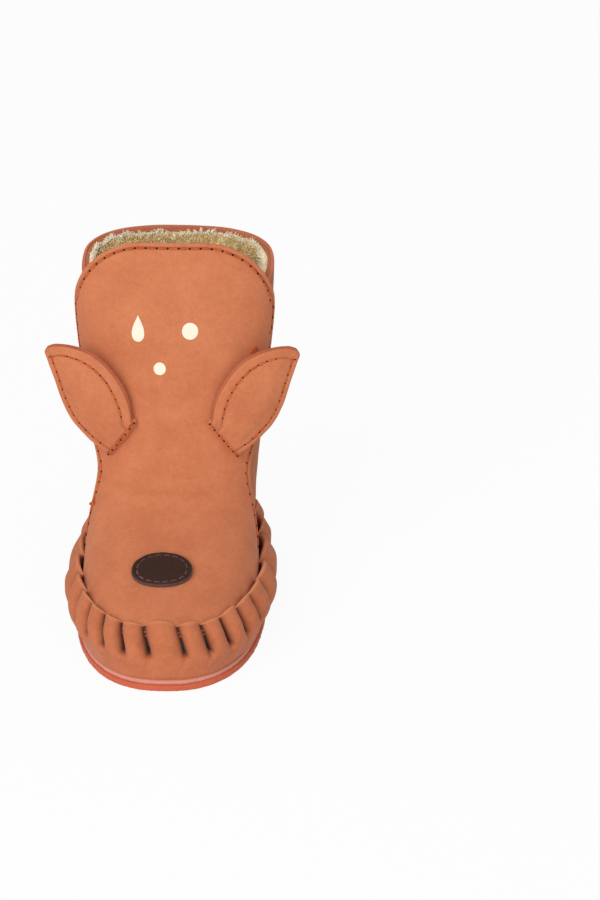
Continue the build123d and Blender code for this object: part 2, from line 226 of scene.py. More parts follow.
def shell(name, outer, inner, material, painted_shade=None, sharp=50):
    """A sheet of leather with rounded cut edges, from its outer and inner grids."""
    rows, columns = outer.shape[:2]
    ends = []
    for at, beside in ((0, 1), (-1, -2)):
        beyond = outer[:, at] - outer[:, beside]
        swell = 0.12 * beyond / (np.linalg.norm(beyond, axis=-1, keepdims=True) + 1e-6)
        ends.append(((outer[:, at] + inner[:, at]) / 2 + swell)[:, None])
    first, last = ends
    ring = np.concatenate([outer, last, inner[:, ::-1], first], 1)
    wide = ring.shape[1]
    faces = [quads(rows, wide, True)]
    j = np.arange(columns - 1)
    for row in (0, rows - 1):
        base = row * wide
        faces.append(
            np.stack([base + j, base + j + 1, base + 2 * columns - 1 - j, base + 2 * columns - j], -1)
        )
    faces = np.concatenate(faces).tolist()
    for row in (0, rows - 1):
        base = row * wide
        faces.append([base, base + 2 * columns, base + wide - 1])
        faces.append([base + columns - 1, base + columns, base + columns + 1])
    edge = np.zeros((rows, wide))
    edge[:, columns] = edge[:, -1] = 1.0
    edge[:, [columns - 1, columns + 1, 0, wide - 2]] = 0.75
    edge[[0, -1]] = np.maximum(edge[[0, -1]], 0.8)
    edge[:, columns + 1 : wide - 1] = np.maximum(edge[:, columns + 1 : wide - 1], 0.45)
    # painted shade on the outer face, passed to the material as an attribute
    painted_shade_values = np.zeros((rows, wide))
    if painted_shade is not None:
        painted_shade_values[:, :columns] = painted_shade
    return add_piece(name, ring.reshape(-1, 3), faces, material, {"edge": edge, "painted_shade": painted_shade_values}, sharp)


# ---- materials ----
class Wires:
    """Shorthand for building a node tree."""

    def __init__(self, tree):
        self.tree = tree

    def add(self, kind, links=None, values=None, **settings):
        made = self.tree.nodes.new(kind)
        for key, value in settings.items():
            setattr(made, key, value)
        for key, value in (values or {}).items():
            made.inputs[key].default_value = value
        for key, source in (links or {}).items():
            self.tree.links.new(source, made.inputs[key])
        return made

    def mix(self, factor, low, high):
        made = self.add("ShaderNodeMix", data_type="RGBA")
        for index, value in ((0, factor), (6, low), (7, high)):
            if isinstance(value, (tuple, list)):
                made.inputs[index].default_value = (*value, 1)
            elif isinstance(value, (int, float)):
                made.inputs[index].default_value = value
            else:
                self.tree.links.new(value, made.inputs[index])
        return made.outputs[2]

    def ramp(self, source, low, high, to_low=0.0, to_high=1.0):
        made = self.add(
            "ShaderNodeMapRange", {"Value": source},
            {"From Min": low, "From Max": high, "To Min": to_low, "To Max": to_high}
        )
        return made.outputs["Result"]

    def noise(self, place, scale, detail=3.0, rough=0.55):
        return self.add(
            "ShaderNodeTexNoise", {"Vector": place}, {"Scale": scale, "Detail": detail, "Roughness": rough}
        ).outputs["Fac"]

    def weighed(self, first, share, second, other):
        return self.maths("ADD", self.maths("MULTIPLY", first, share), self.maths("MULTIPLY", second, other))

    def maths(self, operation, first, second):
        made = self.add("ShaderNodeMath", operation=operation)
        for index, value in enumerate((first, second)):
            if isinstance(value, (int, float)):
                made.inputs[index].default_value = value
            else:
                self.tree.links.new(value, made.inputs[index])
        return made.outputs[0]


def shader_group(name, inputs, outputs):
    tree = bpy.data.node_groups.new(name, "ShaderNodeTree")
    for label, kind, value in inputs:
        tree.interface.new_socket(label, in_out="INPUT", socket_type=kind).default_value = value
    for label, kind in outputs:
        tree.interface.new_socket(label, in_out="OUTPUT", socket_type=kind)
    wires = Wires(tree)
    return wires, wires.add("NodeGroupInput").outputs, wires.add("NodeGroupOutput").inputs


def soft_leather_group():
    """Napped leather: mottled colour, fine nap, creases, paler raw edges, and painted shade darkening stitch
    grooves, gather valleys and gaps.
    """
    wires, given, out = shader_group(
        "soft_leather",
        [("Light", "NodeSocketColor", (1, 1, 1, 1)), ("Dark", "NodeSocketColor", (0, 0, 0, 1)),
         ("Raw edge", "NodeSocketColor", (1, 1, 1, 1)), ("Hole", "NodeSocketColor", (0, 0, 0, 1)),
         ("Mottle size", "NodeSocketFloat", 90.0), ("Nap", "NodeSocketFloat", 1.0)],
        [("Colour", "NodeSocketColor"), ("Roughness", "NodeSocketFloat"), ("Height", "NodeSocketFloat")],
    )
    place = wires.add("ShaderNodeTexCoord").outputs["Object"]
    mottle = wires.add(
        "ShaderNodeTexNoise", {"Vector": place, "Scale": given["Mottle size"]},
        {"Detail": 5.0, "Roughness": 0.6}
    ).outputs["Fac"]
    nap = wires.noise(place, 1500, 3, 0.7)
    specks = wires.noise(place, 520, 4, 0.65)
    blend = wires.ramp(wires.weighed(mottle, 0.62, specks, 0.38), 0.36, 0.64)
    colour = wires.mix(blend, given["Dark"], given["Light"])
    # real grain: the nap's fine specks darken towards the fourth colour, which the painted shade below also
    # uses
    colour = wires.mix(wires.ramp(nap, 0.35, 0.75, 0.16, 0.0), colour, given["Hole"])
    edge = wires.add("ShaderNodeAttribute", attribute_name="edge").outputs["Fac"]
    ragged = wires.maths("MULTIPLY", edge, wires.ramp(wires.noise(place, 900, 3), 0.3, 0.6, 0.7, 1.0))
    colour = wires.mix(ragged, colour, given["Raw edge"])
    # painted shade: this attribute darkens stitch grooves, the valleys between gathers and the gap behind
    # them, standing in for their shadow
    painted_shade = wires.add("ShaderNodeAttribute", attribute_name="painted_shade").outputs["Fac"]
    colour = wires.mix(painted_shade, colour, given["Hole"])
    pores = wires.add(
        "ShaderNodeTexVoronoi", {"Vector": place}, {"Scale": 1250.0, "Randomness": 1.0}
    ).outputs["Distance"]
    creases = wires.add(
        "ShaderNodeTexNoise", {"Vector": place}, {"Scale": 160.0, "Detail": 4.0, "Distortion": 0.6}
    ).outputs["Fac"]
    height = wires.weighed(nap, given["Nap"], wires.ramp(pores, 0, 0.5), 0.45)
    height = wires.maths(
        "ADD", height,
        wires.maths("MULTIPLY", wires.maths("ABSOLUTE", wires.maths("SUBTRACT", creases, 0.5), 0), 2.2)
    )
    height = wires.maths("ADD", height, wires.maths("MULTIPLY", ragged, wires.noise(place, 1700, 4, 0.8)))
    wires.tree.links.new(colour, out["Colour"])
    wires.tree.links.new(wires.ramp(nap, 0.3, 0.8, 0.72, 0.9), out["Roughness"])
    wires.tree.links.new(height, out["Height"])
    return wires.tree


def thread_group():
    """Waxed thread or pile: streaks along and across."""
    wires, given, out = shader_group(
        "spun_fibre",
        [("Light", "NodeSocketColor", (1, 1, 1, 1)), ("Dark", "NodeSocketColor", (0, 0, 0, 1)),
         ("Streak", "NodeSocketFloat", 900.0), ("Patch", "NodeSocketFloat", 200.0)],
        [("Colour", "NodeSocketColor"), ("Height", "NodeSocketFloat")],
    )
    place = wires.add("ShaderNodeTexCoord").outputs["Object"]
    fine = wires.add(
        "ShaderNodeTexNoise", {"Vector": place, "Scale": given["Streak"]}, {"Detail": 2.0}
    ).outputs["Fac"]
    patch = wires.add(
        "ShaderNodeTexNoise", {"Vector": place, "Scale": given["Patch"]}, {"Detail": 3.0}
    ).outputs["Fac"]
    blend = wires.ramp(wires.weighed(fine, 0.4, patch, 0.6), 0.36, 0.62)
    wires.tree.links.new(wires.mix(blend, given["Dark"], given["Light"]), out["Colour"])
    wires.tree.links.new(fine, out["Height"])
    return wires.tree


LEATHER_GROUP, FIBRE_GROUP = soft_leather_group(), thread_group()


def finish_material(name, group, values, bump=0.1, **shader):
    material = bpy.data.materials.new(name)
    material.use_nodes = True
    wires = Wires(material.node_tree)
    principled = material.node_tree.nodes["Principled BSDF"]
    made = wires.add("ShaderNodeGroup", node_tree=group)
    for key, value in values.items():
        made.inputs[key].default_value = (*value, 1) if isinstance(value, tuple) else value
    for key, value in shader.items():
        principled.inputs[key.replace("_", " ")].default_value = value
    material.node_tree.links.new(made.outputs["Colour"], principled.inputs["Base Color"])
    if "Roughness" in made.outputs:
        material.node_tree.links.new(made.outputs["Roughness"], principled.inputs["Roughness"])
    lump = wires.add(
        "ShaderNodeBump", {"Height": made.outputs["Height"]}, {"Strength": 0.6, "Distance": bump * MM}
    )
    material.node_tree.links.new(lump.outputs[0], principled.inputs["Normal"])
    return material


# the fourth colour is the dark of the nap's specks and also of the painted shade in grooves and gaps
def leather(name, light, dark, raw, speck_and_shade=(0.07, 0.012, 0.004), **more):
    values = {"Light": light, "Dark": dark, "Raw edge": raw, "Hole": speck_and_shade, **more}
    return finish_material(
        name, LEATHER_GROUP, values, bump=0.11, Specular_IOR_Level=0.28, Sheen_Weight=0.12,
        Sheen_Roughness=0.5
    )


def fibre(name, light, dark, streak=900.0, patch=200.0, rough=0.7, bump=0.06):
    return finish_material(
        name, FIBRE_GROUP, {"Light": light, "Dark": dark, "Streak": streak, "Patch": patch}, bump=bump,
        Roughness=rough, Specular_IOR_Level=0.25
    )


PANEL_LEATHER = leather("panel_leather", (0.675, 0.222, 0.096), (0.585, 0.172, 0.069), (0.66, 0.22, 0.10))
APRON_LEATHER = leather("apron_leather", (0.63, 0.195, 0.083), (0.52, 0.145, 0.056), (0.72, 0.27, 0.12))
QUARTER_LEATHER = leather("quarter_leather", (0.56, 0.17, 0.075), (0.47, 0.13, 0.052), (0.60, 0.19, 0.09))
EAR_LEATHER = leather("ear_leather", (0.675, 0.222, 0.096), (0.575, 0.170, 0.068), (0.50, 0.11, 0.05))
FACING_LEATHER = leather("facing_leather", (0.46, 0.15, 0.075), (0.36, 0.11, 0.05), (0.5, 0.17, 0.09))
SOLE_LEATHER = leather("sole_leather", (0.62, 0.13, 0.06), (0.44, 0.085, 0.04), (0.64, 0.13, 0.06), Nap=2.2)
WELT_LEATHER = leather("welt_leather", (0.66, 0.29, 0.20), (0.55, 0.20, 0.13), (0.70, 0.31, 0.22), Nap=1.6)
NOSE_LEATHER = leather(
    "nose_leather", (0.042, 0.0115, 0.0050), (0.030, 0.0080, 0.0035), (0.125, 0.058, 0.050),
    speck_and_shade=(0.012, 0.005, 0.004)
)
SPOT_PRINT = leather(
    "spot_print", (0.955, 0.88, 0.72), (0.90, 0.80, 0.63), (0.93, 0.84, 0.68), speck_and_shade=(0.7, 0.55, 0.38)
)
THREAD = fibre("thread", (0.60, 0.135, 0.035), (0.40, 0.075, 0.018))
NOSE_THREAD = fibre("nose_thread", (0.20, 0.10, 0.08), (0.11, 0.05, 0.04))
# painted shade: the needle holes' dark discs stand for the shadow inside the real piercings
NEEDLE_HOLE = fibre("needle_hole", (0.06, 0.012, 0.006), (0.035, 0.007, 0.004), rough=0.95)
PILE = fibre("pile", (1.0, 0.86, 0.55), (0.93, 0.73, 0.40), 500.0, 110.0, 0.85)
PILE_TIP = fibre("pile_fringe", (1.0, 0.95, 0.82), (0.93, 0.82, 0.58), 700.0, 200.0, 0.85)
TAPE_HOOK = fibre("hook_tape", (0.45, 0.42, 0.36), (0.30, 0.27, 0.22), 2600.0, 300.0, 0.6, 0.3)
TAPE_LOOP = fibre("loop_tape", (0.60, 0.57, 0.50), (0.42, 0.38, 0.32), 2000.0, 400.0, 0.8, 0.35)


# ---- what repeats: stitches, needle holes and pile ----
def planting_tree():
    """One shape stood on every point, lying along one direction with its top along another."""
    tree = bpy.data.node_groups.new("plant_shapes", "GeometryNodeTree")
    tree.interface.new_socket("Geometry", in_out="INPUT", socket_type="NodeSocketGeometry")
    for label, kind in (("Shape", "NodeSocketObject"), ("Finish", "NodeSocketMaterial")):
        tree.interface.new_socket(label, in_out="INPUT", socket_type=kind)
    spread = tree.interface.new_socket("Size spread", in_out="INPUT", socket_type="NodeSocketFloat")
    spread.default_value = 0.0
    tree.interface.new_socket("Geometry", in_out="OUTPUT", socket_type="NodeSocketGeometry")
    wires = Wires(tree)
    given = wires.add("NodeGroupInput").outputs
    info = wires.add("GeometryNodeObjectInfo", {"Object": given["Shape"]})
    named = {
        key: wires.add(
            "GeometryNodeInputNamedAttribute", values={"Name": key}, data_type="FLOAT_VECTOR"
        ).outputs["Attribute"]
        for key in ("along", "up", "size")
    }
    turned = wires.add("FunctionNodeAlignRotationToVector", {"Vector": named["along"]}, axis="X")
    turned = wires.add(
        "FunctionNodeAlignRotationToVector", {"Rotation": turned.outputs[0], "Vector": named["up"]},
        axis="Z", pivot_axis="X"
    )
    low = wires.add("ShaderNodeMath", {1: given["Size spread"]}, {0: 1.0}, operation="SUBTRACT").outputs[0]
    high = wires.add("ShaderNodeMath", {1: given["Size spread"]}, {0: 1.0}, operation="ADD").outputs[0]
    chance = wires.add(
        "FunctionNodeRandomValue", {2: low, 3: high}, {"Seed": 7}, data_type="FLOAT"
    ).outputs[1]
    size = wires.add("ShaderNodeVectorMath", {0: named["size"], 3: chance}, operation="SCALE").outputs[0]
    planted = wires.add(
        "GeometryNodeInstanceOnPoints",
        {
            "Points": given["Geometry"], "Instance": info.outputs["Geometry"], "Rotation": turned.outputs[0],
            "Scale": size
        },
    )
    real = wires.add("GeometryNodeRealizeInstances", {"Geometry": planted.outputs[0]})
    dressed = wires.add("GeometryNodeSetMaterial", {"Geometry": real.outputs[0], "Material": given["Finish"]})
    wires.add("NodeGroupOutput", {"Geometry": dressed.outputs[0]})
    return tree


PLANTING = planting_tree()


def plant(name, places, along, up, size, shape, material, spread=0.0):
    points = bpy.data.meshes.new(name)
    points.from_pydata((np.asarray(places) * MM).tolist(), [], [])
    size = np.asarray(size, float)
    for key, values in (("along", along), ("up", up), ("size", np.broadcast_to(size, (len(places), 3)))):
        points.attributes.new(key, "FLOAT_VECTOR", "POINT").data.foreach_set(
            "vector", np.ascontiguousarray(values, np.float32).ravel()
        )
    holder = bpy.data.objects.new(name, points)
    bpy.context.collection.objects.link(holder)
    modifier = holder.modifiers.new("plant", "NODES")
    modifier.node_group = PLANTING
    values = {"Shape": shape, "Finish": material, "Size spread": spread}
    for socket in PLANTING.interface.items_tree:
        if socket.in_out == "INPUT" and socket.name in values:
            modifier[socket.identifier] = values[socket.name]
    holder.update_tag()
    bpy.context.view_layer.update()
    mesh = bpy.data.meshes.new_from_object(holder.evaluated_get(bpy.context.evaluated_depsgraph_get()))
    holder.modifiers.clear()
    holder.data = mesh
    mesh.name = name
    return holder


def pattern_shape(name, rings):
    """A closed shape of unit size from its rings of points, kept out of the picture."""
    rows, around = len(rings), len(rings[0])
    points = np.concatenate([np.concatenate(rings), [np.mean(rings[0], 0)], [np.mean(rings[-1], 0)]])
    faces = quads(rows, around, True).tolist()
    for j in range(around):
        faces.append([rows * around, (j + 1) % around, j])
        faces.append([rows * around + 1, (rows - 1) * around + j, (rows - 1) * around + (j + 1) % around])
    piece = add_piece(name, points, faces, THREAD)
    bpy.context.collection.objects.unlink(piece)
    return piece


def ply_ring(x, radius, twist):
    angle = np.arange(8) * math.pi / 4
    two = 1 + 0.24 * np.cos(2 * (angle - twist))
    return np.stack([np.full(8, x), radius * two * np.cos(angle), radius * two * np.sin(angle) * 0.85], -1)


STITCH = pattern_shape("stitch_shape", [ply_ring(x, r * 0.36, x * 2.9) for x, r in zip(
    np.linspace(-1.25, 1.25, 9), (0.35, 0.8, 0.95, 1, 1, 1, 0.95, 0.8, 0.35))])
HOLE = pattern_shape("hole_shape", [
    np.stack(
        [r * np.cos(np.arange(8) * math.pi / 4), r * np.sin(np.arange(8) * math.pi / 4), np.full(8, z)], -1
    )
    for r, z in ((0.15, 0.07), (0.32, 0.05), (0.38, 0.0), (0.3, -0.3))])
TUFT = pattern_shape("tuft_shape", [
    np.stack([r * np.cos(np.arange(3) * 2.094) + bend, r * np.sin(np.arange(3) * 2.094), np.full(3, z)], -1)
    for r, z, bend in ((0.26, -0.5, 0), (0.2, 1.4, 0.12), (0.06, 3.2, 0.75))])


def resample(path, values, pitch):
    """The values along a path, read at every stitch end."""
    walked = walk(path)
    at = np.linspace(0, walked[-1], max(2, round(walked[-1] / pitch) + 1))
    return np.stack([np.interp(at, walked, values[:, k]) for k in range(3)], -1)


def over_the_fold(piece):
    """For a piece that runs from the bootie across the fold into the face: bakes its placement into the mesh
    and attaches it to neither body.
    """
    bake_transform(piece)


def sew(
    name, rows, material=THREAD, pitch=3.45, sink=-0.02, thick=1.0, body=None, replaces=(),
    blend=False, rng_seed=3
):
    """Runs of straight stitches, each end with a small dark disc of painted shade standing for the shaded
    needle piercing where it dips in. A row is (path, normals).
    """
    rng = np.random.default_rng(rng_seed)
    middles, alongs, ups, sizes, holes, hole_ups = [], [], [], [], [], []
    for path, normal in rows:
        ends, facing = resample(path, path, pitch), resample(path, normal, pitch)
        facing /= np.linalg.norm(facing, axis=1, keepdims=True)
        span = np.diff(ends, axis=0)
        length = np.linalg.norm(span, axis=1)
        up = (facing[1:] + facing[:-1]) / 2
        middles.append((ends[1:] + ends[:-1]) / 2 + up * sink)
        alongs.append(span + rng.normal(0, 0.07, span.shape))
        ups.append(up)
        sizes.append(np.stack([length / 3.2, np.full(len(length), thick), np.full(len(length), thick)], -1))
        holes.append(ends)
        hole_ups.append(facing)
    threads = plant(
        name, np.concatenate(middles), np.concatenate(alongs), np.concatenate(ups), np.concatenate(sizes),
        STITCH, material
    )
    holes, hole_ups = np.concatenate(holes), np.concatenate(hole_ups)
    side = np.cross(hole_ups, hole_ups[:, [1, 2, 0]])
    pits = plant(name + "_holes", holes, side, hole_ups, (thick, thick, 1.0), HOLE, NEEDLE_HOLE)
    for piece in (threads, pits):
        if blend:
            over_the_fold(piece)
        else:
            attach(piece, body)
    if replaces:
        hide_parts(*replaces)
    return threads


# ---- face panel: one keyhole piece from the gathers up to the head ----
SHOULDER_ROUNDING = 0.1  # how softly the head's outline runs into the side edge, in turn


def edge_turn(z, behind=0.0, inset=0.0, room=0.0):
    return turn_at(z, read(PANEL_EDGE, z)[0] + behind, inset, room)


def head_half(z, drop=0.0):
    """Half width of the head's rounded top at a height."""
    corner = FACE_CORNER - drop
    rise = np.clip((z - (FACE_TOP - FACE_CORNER)) / corner, 0, 1)
    return FACE_HALF - FACE_CORNER + corner * np.sqrt(1 - rise**2)


def panel_turn(z, drop=0.0):
    half = oval(z)[2]
    by_head = np.arcsin(np.clip(head_half(z, drop) / half, 0, 1) ** (1 / POWER))
    by_head = by_head + 0.05 * np.clip(SHOULDER - z, 0, 20)
    by_edge = edge_turn(z, -drop * 1.15)
    share = np.clip(0.5 + (by_head - by_edge) / (2 * SHOULDER_ROUNDING), 0, 1)
    return by_head * (1 - share) + by_edge * share - SHOULDER_ROUNDING * share * (1 - share)


def panel_rows(low, drop=0.0):
    z = np.linspace(low, SHOULDER, 2000)
    front = read(SKIN, z)[0]
    walked = np.concatenate([[0], np.cumsum(np.hypot(np.diff(z), np.diff(front)))])
    lower = np.interp(np.linspace(0, walked[-1], int(walked[-1] / 0.62)), walked, z)
    cap = SHOULDER + (FACE_CORNER - drop) * np.sin(np.linspace(0, math.pi / 2, 56)[1:])
    return np.concatenate([lower, cap])


def panel_grid(
    low=BOTTOM, drop=0.0, near=(0, 0.22, 0.5, 0.8, 1.1, 1.4, 1.7, 2.0, 2.3, 2.6, 3.0, 3.4, 3.9, 4.6),
    middle=92
):
    q = np.linspace(-1, 1, 321)
    near = np.array(near, float)
    rows = []
    for z in panel_rows(low, drop):
        end = float(panel_turn(np.array(z), drop))
        points = skin(np.full(len(q), z), end * power(q, 1.25))
        walked = walk(points)
        total = walked[-1]
        side = near * min(1.0, total / 26)
        between = np.linspace(side[-1], total - side[-1], middle + 2)[1:-1]
        at = np.concatenate([side, between, (total - side)[::-1]])
        turn = np.interp(at, walked, end * power(q, 1.25))
        rows.append(skin(np.full(len(at), z), turn))
    return np.array(rows)


def boundary_distance(grid):
    rim = np.concatenate([grid[:, 0], grid[-1], grid[::-1, -1]])
    flat = grid.reshape(-1, 3)
    found = np.empty(len(flat))
    for k in range(0, len(flat), 4000):
        part = flat[k : k + 4000]
        found[k : k + 4000] = np.sqrt(((part[:, None] - rim[None]) ** 2).sum(-1).min(1))
    return found.reshape(grid.shape[:2])


def panel_lift(p):
    """How far the panel's soft leather stands off its plain shape."""
    soft = 0.16 * ripple(p, 34, 11) + 0.06 * ripple(p, 12, 12)
    crease = np.exp(-(((p[..., 2] - 42) / 9) ** 2)) * 0.16 * np.sin(
        p[..., 2] * 1.45 + 0.5 * np.sin(p[..., 0] * 0.16) + 1.0
    )
    return soft + crease * smooth((26 - np.abs(p[..., 0])) / 10)


ROW_IN = 1.6  # the stitch row's distance inside the edge


def panel_surface(p, distance):
    groove = -0.22 * np.exp(-(((distance - ROW_IN) / 0.55) ** 2))
    fall = -0.22 * (1 - smooth(distance / 0.6))
    puff = 0.22 * smooth((distance - ROW_IN) / 5.0)
    return groove + fall + puff + panel_lift(p) * smooth(distance / 5.0)


def make_panel():
    grid = panel_grid()
    out = normals(grid)
    distance = boundary_distance(grid)
    surface = grid + out * panel_surface(grid, distance)[..., None]
    inner = grid - out * (LEATHER - 0.05)
    # painted shade in the groove of the stitch row along the panel's edge
    painted_shade = 0.42 * np.exp(-(((distance - ROW_IN) / 0.34) ** 2))
    panel = shell("face_panel", surface, inner, PANEL_LEATHER, painted_shade)
    over_the_fold(panel)
    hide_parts("vamp_panel", "face_flap")


def edge_path():
    """The stitch row up each side of the panel to the middle of the head."""
    z_low = np.linspace(22.5, 96, 260)
    y = read(PANEL_EDGE, z_low)[0]
    slope = np.gradient(y, z_low)
    scale = np.hypot(1, slope)
    z_in, y_in = z_low + ROW_IN * slope / scale, y - ROW_IN / scale
    turn = turn_at(z_in, y_in)
    phi = np.linspace(0.1, math.pi / 2, 80)
    r = FACE_CORNER - ROW_IN
    x_cap, z_cap = FACE_HALF - FACE_CORNER + r * np.cos(phi), FACE_TOP - FACE_CORNER + r * np.sin(phi)
    cap_turn = np.arcsin(np.clip(x_cap / oval(z_cap)[2], 0, 1) ** (1 / POWER))
    keep = z_in < z_cap[0] - 1.5
    turn, z_in = np.concatenate([turn[keep], cap_turn]), np.concatenate([z_in[keep], z_cap])
    x_top = np.linspace(x_cap[-1], 0, 30)[1:]
    top_turn = np.arcsin(np.clip(x_top / oval(np.full(29, z_cap[-1]))[2], 0, 1) ** (1 / POWER))
    turn, z_in = np.concatenate([turn, top_turn]), np.concatenate([z_in, np.full(29, z_cap[-1])])
    limit = panel_turn(z_in) - 0.032 * (1 - smooth((z_in - SHOULDER) / 12))
    turn = np.where((z_in > SHOULDER - 20) & (z_in < SHOULDER + 14), np.minimum(turn, limit), turn)
    place, facing = off_skin(z_in, turn, np.full(len(turn), 0.02))
    flip = np.array([-1, 1, 1])
    return place * flip, facing * flip, place, facing


def make_panel_stitching():
    left, left_up, right, right_up = edge_path()
    over = np.concatenate([left, right[::-1]])
    over_up = np.concatenate([left_up, right_up[::-1]])
    first = np.arange(len(over)) < len(left)
    open_part = first | (over[:, 2] > 84.5)
    upper = over[open_part], over_up[open_part]
    # on the medial side the flap's row turns in to its tack, and the vamp's row runs on below
    tack, tack_up = front_at(
        np.array([25.6, 27.4, 28.9, 29.8]), np.array([80.7, 81.2, 82.2, 83.4]), np.full(4, -0.05)
    )
    flap_row = (np.concatenate([upper[0], tack[::-1]]), np.concatenate([upper[1], tack_up[::-1]]))
    lower = ~first & (over[:, 2] < 79)
    sew(
        "panel_stitching", [flap_row, (over[lower], over_up[lower])], blend=True,
        replaces=("face_stitching", "vamp_stitching")
    )
    middles, ups, alongs = [], [], []
    low_at = int(np.argmin(np.abs(left[:, 2] - 34)))
    for centre, up in ((left[low_at], left_up[low_at]), (tack[0], tack_up[0])):
        across = np.cross(up, FLAP_SIDE)
        for shift in (-0.55, 0.0, 0.55):
            middles.append(centre + up * 0.25 + np.cross(up, across) * shift)
            ups.append(up)
            alongs.append(across + 0.12 * shift * FLAP_SIDE)
    tacks = plant("tacks", middles, np.array(alongs), np.array(ups), (1.15, 1.25, 1.2), STITCH, THREAD)
    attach(tacks, "bootie")
    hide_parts("bar_tacks")


# ---- quarter: the wall round the heel, its facing and the pile inside ----
def rim(y):
    return RIM_AT_BACK + (y + HALF_LENGTH - BACK_FROM_TOE) * RIM_SLOPE


def wall_grid(low, below, inset, room, rows, columns, behind):
    """A grid round the heel from one free edge to the other, up to a distance below the rim."""
    share, across = np.meshgrid(np.linspace(0, 1, rows), np.linspace(0, 1, columns), indexing="ij")
    z = low + share * (105 - low)
    for _ in range(5):
        start = edge_turn(z, behind, inset, room)
        turn = start + across * (2 * math.pi - 2 * start)
        y = skin(z, turn, inset, room)[..., 1]
        z = low + share * (rim(y) - below - low)
    return skin(z, turn, inset, room)


def make_quarter():
    grid = wall_grid(BOTTOM, 0.0, UNDER, CLOSURE_ROOM, 150, 190, -7.6)
    out = normals(grid)
    to_rim = rim(grid[..., 1]) - grid[..., 2]
    lift = 0.2 * ripple(grid, 30, 21) + 0.07 * ripple(grid, 10, 22)
    under = smooth((grid[..., 1] + HALF_LENGTH - read(PANEL_EDGE, grid[..., 2])[0]) / 6)
    row = np.abs(to_rim - 2.4)
    lift = lift * under - 0.18 * np.exp(-((row / 0.5) ** 2)) - 0.2 * (1 - smooth(to_rim / 0.7))
    surface = grid + out * lift[..., None]
    # painted shade in the groove of the stitch row below the rim
    painted_shade = 0.35 * np.exp(-((row / 0.32) ** 2))
    quarter = shell("quarter", surface, grid - out * (LEATHER - 0.05), QUARTER_LEATHER, painted_shade)
    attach(quarter, "bootie")
    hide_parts("ankle_quarter", "medial_wing")
    band = wall_grid(100, 0.25, UNDER + LEATHER, CLOSURE_ROOM, 10, 190, -7.6)
    low_band = wall_grid(100, 3.6, UNDER + LEATHER, CLOSURE_ROOM, 2, 190, -7.6)
    mix = np.linspace(0, 1, 12)[:, None, None]
    strip = low_band[-1][None] * (1 - mix) + band[-1][None] * mix
    away = normals(strip)
    strip_in = strip - away * (0.95 + 0.06 * ripple(strip, 5, 23))[..., None]
    facing = shell("rim_strip", strip - away * 0.02, strip_in, FACING_LEATHER)
    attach(facing, "bootie")
    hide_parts("rim_facing")
    stitch_line = strip_in[8]
    flip = -away[8]
    outer_line, outer_up = [], []
    for j in range(grid.shape[1]):
        i = int(np.argmin(row[:, j]))
        outer_line.append(surface[i, j])
        outer_up.append(out[i, j])
    outer_line, outer_up = np.array(outer_line)[6:-6], np.array(outer_up)[6:-6]
    sew("rim_stitching", [(stitch_line, flip), (outer_line, outer_up)], pitch=2.6, thick=0.62, body="bootie")


def tufts(
    name, places, facing, lengths, material, body=None, replaces=(), seed=5, blend=False,
    droop=0.45
):
    """Pile standing on a surface, leaning in soft locks."""
    rng = np.random.default_rng(seed)
    lock = np.stack([ripple(places, 5.5, seed + k) for k in (1, 2, 3)], -1)
    up = facing + 0.5 * lock + np.array([0, 0, droop]) + rng.normal(0, 0.16, places.shape)
    up -= np.minimum(0, (up * facing).sum(-1, keepdims=True) - 0.25) * facing
    along = np.cross(up, rng.normal(size=places.shape))
    size = np.stack(
        [rng.uniform(0.8, 1.3, len(places))] * 2 + [lengths * rng.uniform(0.75, 1.2, len(places))], -1
    )
    piece = plant(name, places, along, up, size, TUFT, material)
    if blend:
        over_the_fold(piece)
    else:
        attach(piece, body)
    if replaces:
        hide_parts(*replaces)
    return piece


def scatter(grid, facing, count, seed, weight=None):
    """Even random places on a grid of points."""
    rng = np.random.default_rng(seed)
    a = np.linalg.norm(np.cross(grid[1:, :-1] - grid[:-1, :-1], grid[:-1, 1:] - grid[:-1, :-1]), axis=-1)
    if weight is not None:
        a = a * weight[:-1, :-1]
    pick = rng.choice(a.size, count, p=(a / a.sum()).ravel())
    i, j = np.unravel_index(pick, a.shape)
    u, v = rng.uniform(size=(2, count, 1))
    found = (1 - u) * ((1 - v) * grid[i, j] + v * grid[i, j + 1]) + u * (
        (1 - v) * grid[i + 1, j] + v * grid[i + 1, j + 1]
    )
    return found, facing[i, j]


